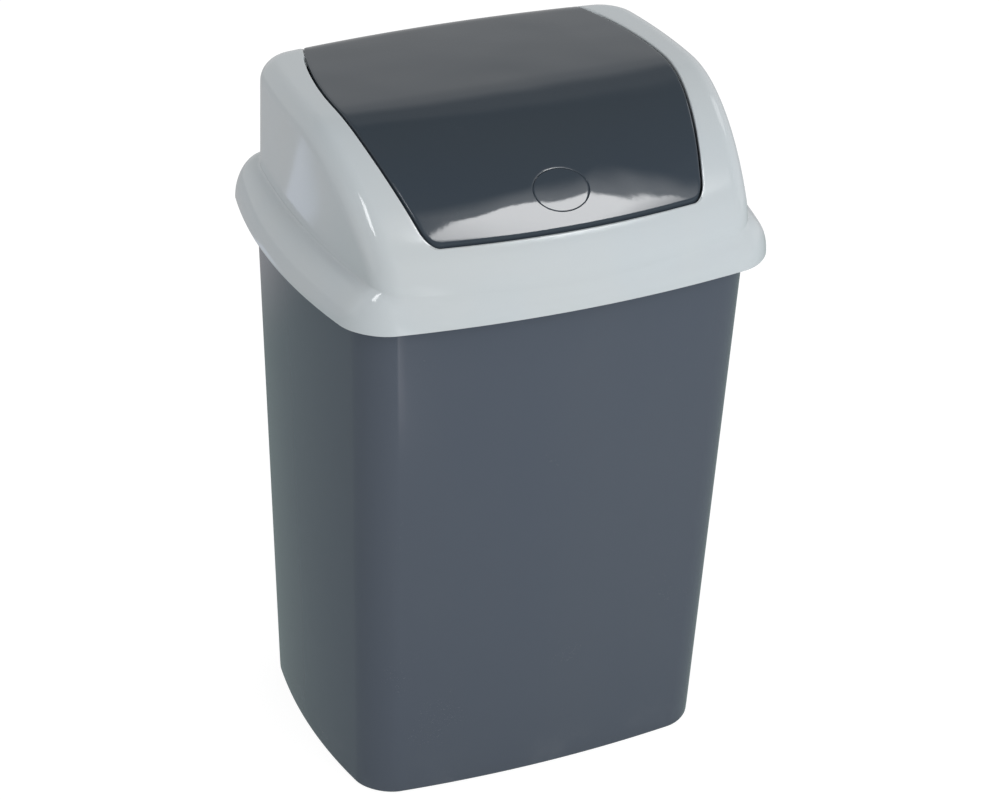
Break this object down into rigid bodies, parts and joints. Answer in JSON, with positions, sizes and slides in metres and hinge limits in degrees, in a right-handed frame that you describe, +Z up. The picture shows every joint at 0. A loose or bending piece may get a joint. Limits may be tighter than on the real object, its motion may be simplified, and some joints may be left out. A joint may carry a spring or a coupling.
{
  "type": "countertop trash can with swing lid",
  "caption": "Small plastic kitchen swing bin: a tapered dark grey body, a pale grey domed lid that lifts off, and a dark flap that swings inward to open and falls shut.",
  "frame": {"origin": "centre of the bin's plan, on the surface that it stands on", "axes": "+Z up; -Y is the front, which the flap's long slope faces; +X is to the right of someone looking at the front"},
  "size_m": [0.2476, 0.1994, 0.3694],
  "materials": {
    "body_plastic": "satin slate grey moulding",
    "hood_plastic": "glossy pale cool grey moulding",
    "flap_plastic": "glossy dark slate moulding",
    "disc_plastic": "glossy dark slate moulding"
  },
  "bodies": {
    "bin": {"bin_body": "body_plastic"},
    "hood": {"lid_hood": "hood_plastic"},
    "flap": {"swing_flap": "flap_plastic", "push_disc": "disc_plastic"}
  },
  "joints": [
    {"name": "hood_lift", "type": "slide", "parent": "bin", "child": "hood", "axis": [0, 0, 1], "range_m": [0, 0.12]},
    {"name": "flap_swing", "type": "hinge", "parent": "hood", "child": "flap", "pos_m": [0, -0.014, 0.36], "axis": [1, 0, 0], "range_deg": [0, 65]}
  ]
}
